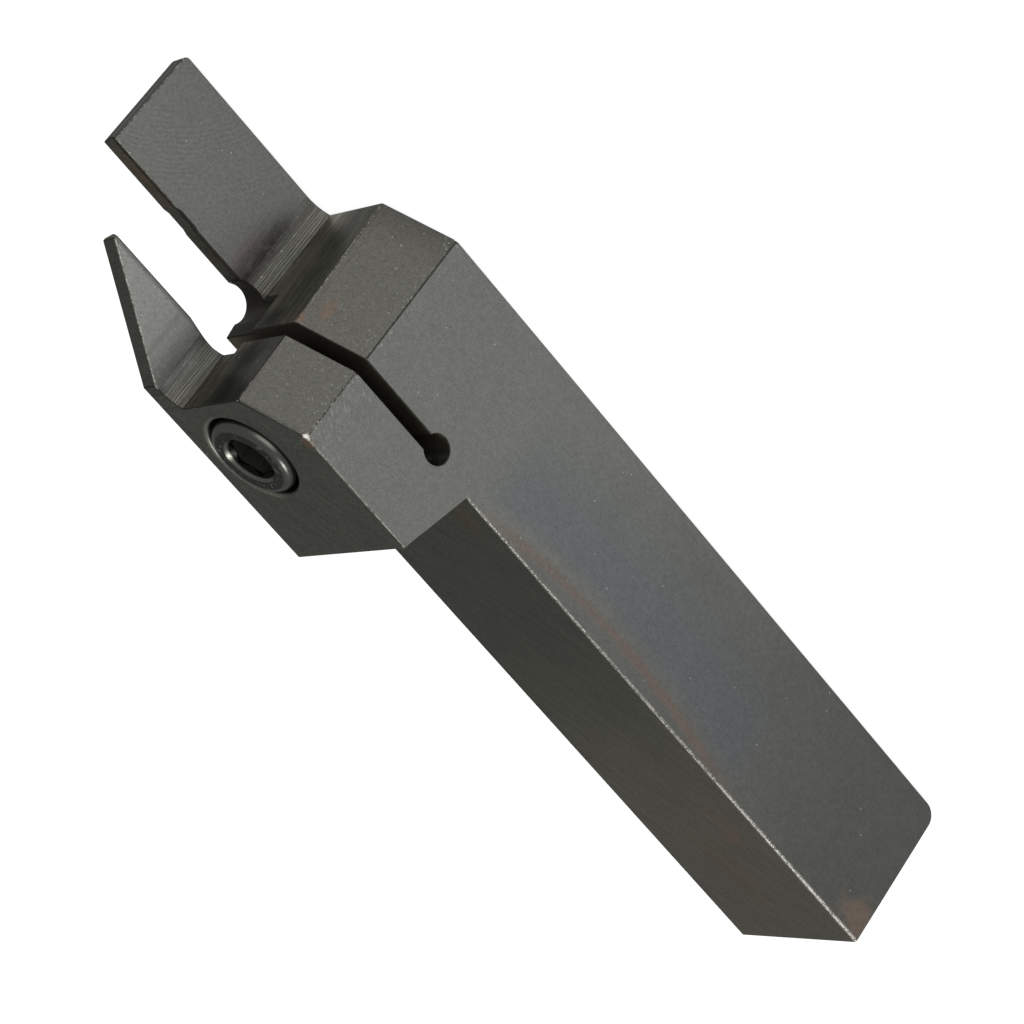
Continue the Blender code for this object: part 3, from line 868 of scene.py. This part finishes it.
give_finish(holder, holder_steel)
print("holder:", len(holder.data.polygons), "faces and", chips, "chips")

# %% [markdown]
# ## The clamp screw
#
# An M5 socket head screw. Its outline is turned round its axis, thread and head in one
# piece, and then a Geometry Nodes tree moves the points in and out: a helix of crests
# along the shank, and straight grips round the head. A modifier can do this because both
# patterns are plain rules of angle and height.

# %% Outline of the screw
UNDER_HEAD = 0.01925
HEAD_RADIUS = 0.0042
HEAD_HEIGHT = 0.0050
HEAD_CHAMFER = 0.00025
GRIP_FOOT = 0.0007
GRIP_TOP = HEAD_HEIGHT - 0.0013
GRIP_END = HEAD_HEIGHT - 0.0010
CROWN_ROUND = 0.00085
CROWN_STEPS = 12
THREAD_RADIUS = 0.0025
SHANK_LENGTH = 0.0160
POINT_CONE = 0.0006
THREAD_PITCH = 0.0008
THREAD_DEPTH = 0.00046
GRIP_DEPTH = 0.00012
ROWS_PER_TURN = 8
SPOKES = 144
GRIPS = 36


def screw_outline():
    """Points of (radius, height) from the tip of the screw to the middle of its head."""
    points = [(0, -SHANK_LENGTH), (THREAD_RADIUS - POINT_CONE, -SHANK_LENGTH)]
    rows = round(SHANK_LENGTH / THREAD_PITCH * ROWS_PER_TURN)
    for row in range(rows + 1):
        height = POINT_CONE - SHANK_LENGTH + (SHANK_LENGTH - POINT_CONE) * row / rows
        points.append((THREAD_RADIUS, height))
    points += [(HEAD_RADIUS - HEAD_CHAMFER, 0), (HEAD_RADIUS, HEAD_CHAMFER)]
    points += [(HEAD_RADIUS, GRIP_FOOT), (HEAD_RADIUS, GRIP_TOP), (HEAD_RADIUS, GRIP_END)]
    for step in range(CROWN_STEPS + 1):
        angle = math.radians(90) * step / CROWN_STEPS
        points.append((HEAD_RADIUS - CROWN_ROUND + CROWN_ROUND * math.cos(angle),
                       HEAD_HEIGHT - CROWN_ROUND + CROWN_ROUND * math.sin(angle)))
    points += [(0, HEAD_HEIGHT)]
    return points


def turned(name, outline, spokes, middle, foot):
    """A closed mesh: the outline turned round an upright axis."""
    work = bmesh.new()
    line = [work.verts.new((radius, 0, height)) for radius, height in outline]
    edges = [work.edges.new(pair) for pair in zip(line, line[1:])]
    bmesh.ops.spin(work, geom=line + edges, cent=(0, 0, 0), axis=(0, 0, 1), angle=math.tau, steps=spokes,
                   use_merge=True)
    bmesh.ops.remove_doubles(work, verts=work.verts, dist=1e-7)
    bmesh.ops.recalc_face_normals(work, faces=work.faces)
    bmesh.ops.translate(work, verts=work.verts, vec=(*middle, foot))
    mesh = bpy.data.meshes.new(name)
    work.to_mesh(mesh)
    work.free()
    return mesh


screw = show("screw", turned("screw", screw_outline(), SPOKES, SCREW_MIDDLE, UNDER_HEAD))
print("turned screw:", len(screw.data.polygons), "faces")

# %% [markdown]
# ## Screw steel
#
# The screw is blacker and glossier than the bar. Fine turning rings run round its head, and
# the flat ring between the socket and the crown has a few light dabs. The crown and the
# socket's mouth are rubbed paler. The wall of the socket's lead-in is painted almost black,
# as painted shade, and the socket below it is painted lighter, as painted light in its shadow.

# %% Screw steel
screw_steel, tree, shader, place, _ = start_finish("black_screw_steel")
smudge = grain(tree, place, 0.9, 3.0, 0.6)
grit = grain(tree, place, 8.0, 3.0, 0.7)
dabs = soften(tree, grain(tree, place, 1.9, 2.0, 0.6, shift=(2, 6, 3)), 0.56, 0.68)
off_axis = off_screw_axis(tree, place)
height = place_node(tree, "ShaderNodeSeparateXYZ", None, i0=place).outputs[2]
rings = place_node(tree, "ShaderNodeTexNoise", {"noise_dimensions": "1D"}, W=off_axis, Scale=9.0, Detail=2.0)

flat_ring = overlap(tree, soften(tree, off_axis, 2.6, 2.9), soften(tree, off_axis, 3.8, 3.4))
dabs = overlap(tree, dabs, flat_ring)
in_socket = overlap(tree, soften(tree, off_axis, 2.66, 2.58), soften(tree, height, 19.3, 20.0))
shaded_lead_in = soften(tree, height, 23.45, 23.55)
mouth_rim = overlap(tree, in_socket, shaded_lead_in, soften(tree, off_axis, 2.32, 2.44))
crown_rub = overlap(tree, soften(tree, off_axis, 3.42, 3.62), soften(tree, height, 23.2, 23.5))

colour = mix(tree, smudge, tone(44, 44, 41), tone(66, 66, 62))
colour = coat(tree, colour, dabs, 0.60, tone(140, 140, 134))
# Painted light and shade: the socket's deep walls are painted lighter, and its lead-in wall almost black.
colour = mix(tree, in_socket, colour, mix(tree, shaded_lead_in, tone(104, 104, 96), tone(20, 20, 18)))
colour = coat(tree, colour, mouth_rim, 0.80, tone(112, 112, 105))
colour = coat(tree, colour, crown_rub, 0.40, tone(122, 122, 116))
relief = scaled(tree, dabs, 2.0, scaled(tree, rings.outputs["Fac"], 0.5, grit))
finish_shader(tree, shader, colour, scaled(tree, smudge, 0.16, 0.20), relief)
print("screw steel has", len(tree.nodes), "nodes")

# %% [markdown]
# ## The tree that cuts thread and grips
#
# For each point the tree asks how far round the axis and how high it is. Height over pitch,
# less the share of a turn, says where in the thread's profile the point lies, and a zigzag
# of the angle does the same for the grips. Both push the point towards the axis. Pitch,
# depths and the count of grips are the tree's inputs, so they can be tried out by hand.

# %% The tree that cuts thread and grips
CREST_SHARE = 0.20
GROOVE_SHARE = 0.85
GRIP_SPARE = 0.0001


def add_input(tree, name, value, kind="NodeSocketFloat"):
    """Add an input to a tree and say by which identifier a modifier knows it."""
    socket = tree.interface.new_socket(name, in_out="INPUT", socket_type=kind)
    if kind == "NodeSocketFloat":
        socket.default_value = value
    return socket.identifier


shaping = bpy.data.node_groups.new("thread_and_grips", "GeometryNodeTree")
add_input(shaping, "Screw", None, "NodeSocketGeometry")
sizes = (("Pitch", THREAD_PITCH), ("Thread depth", THREAD_DEPTH),
         ("Grips", float(GRIPS)), ("Grip depth", GRIP_DEPTH))
wanted = {name: (add_input(shaping, name, value), value) for name, value in sizes}
shaping.interface.new_socket("Screw", in_out="OUTPUT", socket_type="NodeSocketGeometry")
given = place_node(shaping, "NodeGroupInput").outputs
point = place_node(shaping, "GeometryNodeInputPosition").outputs[0]
from_middle = vector(shaping, "SUBTRACT", point, (*SCREW_MIDDLE, UNDER_HEAD))
x, y, z = place_node(shaping, "ShaderNodeSeparateXYZ", None, i0=from_middle).outputs
round_share = number(shaping, "DIVIDE", number(shaping, "ARCTAN2", y, x), math.tau)

turns = number(shaping, "SUBTRACT", number(shaping, "DIVIDE", z, given["Pitch"]), round_share)
off_crest = number(shaping, "ABSOLUTE", number(shaping, "SUBTRACT", number(shaping, "FRACT", turns), 0.5))
groove = place_node(shaping, "ShaderNodeMapRange", {"clamp": True},
                    i0=number(shaping, "MULTIPLY", off_crest, 2.0),
                    i1=CREST_SHARE, i2=GROOVE_SHARE, i3=0.0, i4=1.0).outputs[0]
on_thread = overlap(shaping, number(shaping, "LESS_THAN", z, -THREAD_PITCH),
                    number(shaping, "GREATER_THAN", z, POINT_CONE / 2 - SHANK_LENGTH))
thread_in = overlap(shaping, groove, given["Thread depth"], on_thread)

tooth = number(shaping, "PINGPONG", number(shaping, "MULTIPLY", round_share, given["Grips"]), 0.5)
on_head = overlap(shaping, number(shaping, "GREATER_THAN", z, GRIP_FOOT - GRIP_SPARE),
                  number(shaping, "LESS_THAN", z, GRIP_TOP + GRIP_SPARE))
grip_in = overlap(shaping, number(shaping, "MULTIPLY", tooth, 2.0), given["Grip depth"], on_head)

inward = number(shaping, "MULTIPLY", number(shaping, "ADD", thread_in, grip_in), -1.0)
level = place_node(shaping, "ShaderNodeCombineXYZ", None, i0=x, i1=y, i2=0.0).outputs[0]
outward = vector(shaping, "NORMALIZE", level)
push = place_node(shaping, "ShaderNodeVectorMath", {"operation": "SCALE"}, i0=outward, Scale=inward)
moved = place_node(shaping, "GeometryNodeSetPosition", None, Geometry=given["Screw"], Offset=push.outputs[0])
real = place_node(shaping, "GeometryNodeRealizeInstances", None, i0=moved.outputs[0])
dressed = place_node(shaping, "GeometryNodeSetMaterial", None, Geometry=real.outputs[0], Material=screw_steel)
place_node(shaping, "NodeGroupOutput", None, i0=dressed.outputs[0])
print("tree has", len(shaping.nodes), "nodes")

# %% [markdown]
# ## Thread, grips and socket
#
# The modifier's result becomes a plain mesh. Then three cutters make the socket: a
# hexagonal prism, a wide cone for the lead-in at its mouth, and a flat cone for the point
# that the drill left at its foot.

# %% Thread, grips and socket
SOCKET_FLATS = 0.0040
SOCKET_DEPTH = 0.0028
SOCKET_TURN = math.radians(37)
SOCKET_LEAD_IN = 0.00037
SOCKET_CORNER = SOCKET_FLATS / 2 / math.cos(math.radians(30))
DRILL_RADIUS = SOCKET_FLATS / 2 - 0.0001
DRILL_POINT = 0.0008
CUTTER_SPARE = 0.001
LEAD_IN_SPOKES = 96
DRILL_SPOKES = 48
SMOOTH_STEP = math.radians(24)

modifier = screw.modifiers.new("thread_and_grips", "NODES")
modifier.node_group = shaping
for identifier, value in wanted.values():
    modifier[identifier] = value
screw.data = bpy.data.meshes.new_from_object(screw.evaluated_get(bpy.context.evaluated_depsgraph_get()))
screw.modifiers.clear()


def hexagon(height):
    """The socket's six corners at one height."""
    corners = []
    for corner in range(6):
        angle = SOCKET_TURN + math.radians(60) * corner
        corners.append((SCREW_MIDDLE[0] + SOCKET_CORNER * math.cos(angle),
                        SCREW_MIDDLE[1] + SOCKET_CORNER * math.sin(angle), height))
    return corners


crown = UNDER_HEAD + HEAD_HEIGHT
foot = crown - SOCKET_DEPTH
mouth = SOCKET_CORNER + SOCKET_LEAD_IN
lead_in_outline = [(0, crown - mouth), (mouth, crown), (mouth + CUTTER_SPARE, crown + CUTTER_SPARE),
                   (0, crown + CUTTER_SPARE)]
drill_outline = [(0, foot - DRILL_POINT), (DRILL_RADIUS, foot), (0, foot + CUTTER_SPARE)]
key_hole = show("key_hole", closed_loft("key_hole", [hexagon(foot), hexagon(crown + CUTTER_SPARE)]))
lead_in = show("lead_in", turned("lead_in", lead_in_outline, LEAD_IN_SPOKES, SCREW_MIDDLE, 0))
drilled = show("drilled", turned("drilled", drill_outline, DRILL_SPOKES, SCREW_MIDDLE, 0))
cut_out(screw, [key_hole, lead_in, drilled])
give_finish(screw, screw_steel)
screw.data.shade_smooth()
screw.data.set_sharp_from_angle(angle=SMOOTH_STEP)
print("screw:", len(screw.data.polygons), "faces")

# %% [markdown]
# ## Bodies
#
# Each piece moves with its body, and the imported solid that it stands for is hidden.

# %% Bodies and hidden solids
for piece, body, node, slot in ((holder, "holder", "holder_body", "holder_steel"),
                                (screw, "screw", "clamp_screw", "screw_steel")):
    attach(piece, body)
    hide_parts(node)
